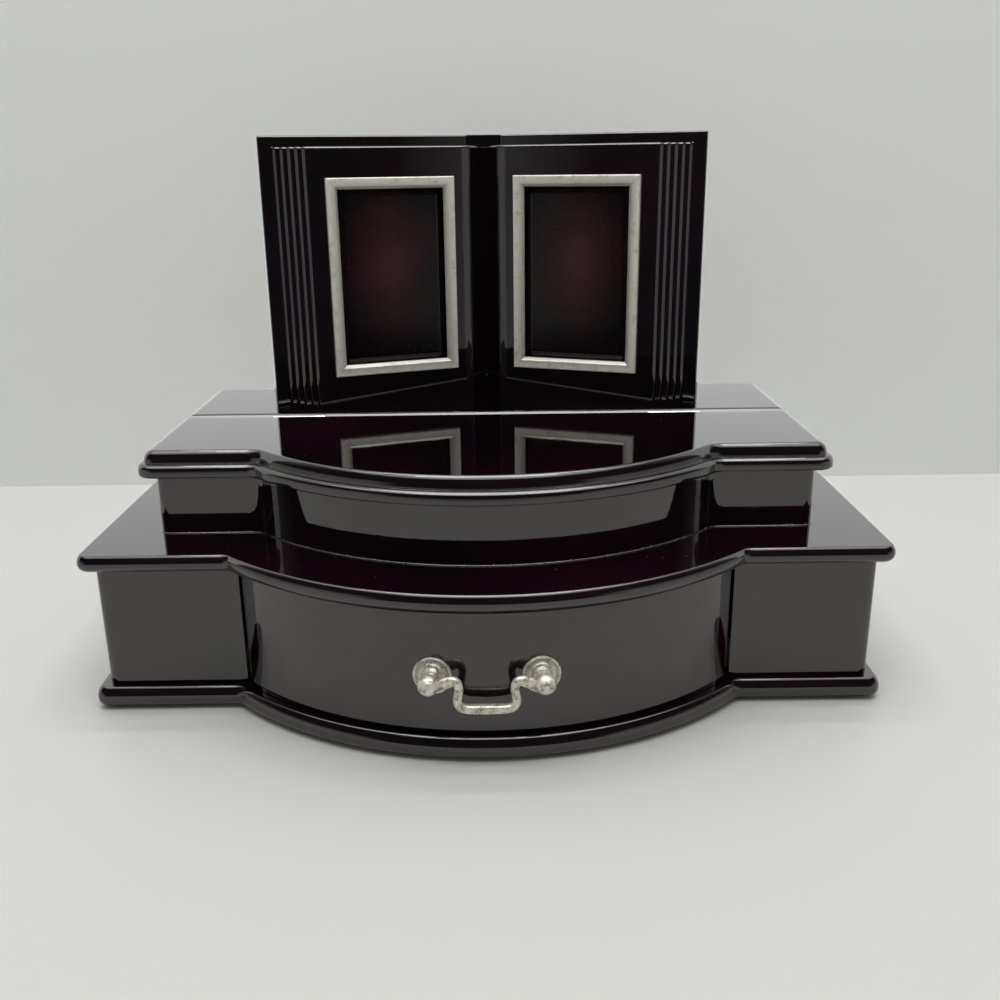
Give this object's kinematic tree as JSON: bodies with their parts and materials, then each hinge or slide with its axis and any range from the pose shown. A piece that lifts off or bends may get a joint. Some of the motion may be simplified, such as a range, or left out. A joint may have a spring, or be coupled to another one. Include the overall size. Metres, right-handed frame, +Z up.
{
  "type": "musical jewellery box",
  "caption": "Bow-fronted musical jewellery box with a drawer, a hinged-lid tray, an open-book picture stand and a wind-up musical movement.",
  "frame": {"origin": "on the table, on the underside of the felt, below the middle of the base carcass", "axes": "+X to the right seen from the front, +Y to the back, +Z up"},
  "size_m": [0.3, 0.2052, 0.208],
  "materials": {
    "lacquer": "high-gloss dark burgundy lacquer, almost black",
    "bare_wood": "plain sanded wood",
    "pewter": "antiqued pewter-coloured plate",
    "brass": "polished brass",
    "steel": "bright steel",
    "velvet": "burgundy velvet",
    "felt": "black felt",
    "mirror": "silvered glass"
  },
  "bodies": {
    "case": {"base_back_wall": "lacquer", "base_felt": "felt", "base_left_front_stile": "lacquer", "base_left_side": "lacquer", "base_right_front_stile": "lacquer", "base_right_side": "lacquer", "bay_back_board": "bare_wood", "book_left_cover": "lacquer", "book_left_pages": "lacquer", "book_right_cover": "lacquer", "book_right_pages": "lacquer", "book_screws": "steel", "book_spine": "lacquer", "comb": "steel", "comb_screws": "steel", "deck_board": "lacquer", "hinge_fixed_leaves": "steel", "hinge_fixed_screws": "steel", "hinge_pins": "steel", "left_drawer_guide": "bare_wood", "left_picture_frame": "pewter", "movement_bedplate": "brass", "movement_screws": "steel", "plinth_board": "lacquer", "rear_top_board": "lacquer", "right_drawer_guide": "bare_wood", "right_picture_frame": "pewter", "ring_rolls": "velvet", "tray_dividers": "velvet", "tray_lining": "velvet", "upper_back_wall": "lacquer", "upper_front_wall": "lacquer", "upper_left_side": "lacquer", "upper_partition": "lacquer", "upper_right_side": "lacquer"},
    "drawer": {"drawer_front": "lacquer", "drawer_left_side": "bare_wood", "drawer_right_side": "bare_wood", "drawer_back": "bare_wood", "drawer_bottom": "bare_wood", "drawer_lining": "velvet", "handle_rosettes": "pewter", "handle_posts": "pewter", "handle_nuts": "steel"},
    "bail": {"handle_bail": "pewter"},
    "lid": {"lid_board": "lacquer", "lid_mirror": "mirror", "lid_lining": "velvet", "hinge_lid_leaves": "steel", "hinge_lid_screws": "steel"},
    "stop_wire": {"stop_wire": "steel"},
    "winder": {"winding_arbor": "steel", "winding_key": "brass"},
    "barrel": {"spring_barrel": "brass"},
    "cylinder": {"music_cylinder": "brass"},
    "governor": {"governor_gear": "brass"},
    "fan": {"governor_fan": "steel"}
  },
  "joints": [
    {"name": "drawer_slide", "type": "slide", "parent": "case", "child": "drawer", "axis": [0, -1, 0], "range_m": [0, 0.075]},
    {"name": "bail_swing", "type": "hinge", "parent": "drawer", "child": "bail", "pos_m": [0, -0.11197, 0.0313], "axis": [-1, 0, 0], "range_deg": [-27, 110]},
    {"name": "lid_hinge", "type": "hinge", "parent": "case", "child": "lid", "pos_m": [0, 0.0115, 0.0938], "axis": [-1, 0, 0], "range_deg": [0, 95]},
    {"name": "stop_wire_lift", "type": "slide", "parent": "case", "child": "stop_wire", "axis": [0, 0, 1], "range_m": [0, 0.003]},
    {"name": "winding", "type": "hinge", "parent": "case", "child": "winder", "pos_m": [0.047, 0.06, 0.0325], "axis": [0, 1, 0], "continuous": true},
    {"name": "cylinder_turn", "type": "hinge", "parent": "case", "child": "cylinder", "pos_m": [0.0613, 0.0447, 0.0325], "axis": [1, 0, 0], "continuous": true},
    {"name": "barrel_turn", "type": "hinge", "parent": "case", "child": "barrel", "pos_m": [0.047, 0.05, 0.0325], "axis": [0, 1, 0], "continuous": true},
    {"name": "governor_turn", "type": "hinge", "parent": "case", "child": "governor", "pos_m": [0.0803, 0.0447, 0.0402], "axis": [1, 0, 0], "continuous": true},
    {"name": "fan_turn", "type": "hinge", "parent": "case", "child": "fan", "pos_m": [0.0855, 0.05, 0.046], "axis": [0, 1, 0], "continuous": true}
  ],
  "couplings": [
    {"joint": "stop_wire_lift", "follows": "lid_hinge", "m_per_rad": 0.0018},
    {"joint": "barrel_turn", "follows": "cylinder_turn", "ratio": -0.25},
    {"joint": "governor_turn", "follows": "cylinder_turn", "ratio": -4.5},
    {"joint": "fan_turn", "follows": "cylinder_turn", "ratio": -18}
  ]
}
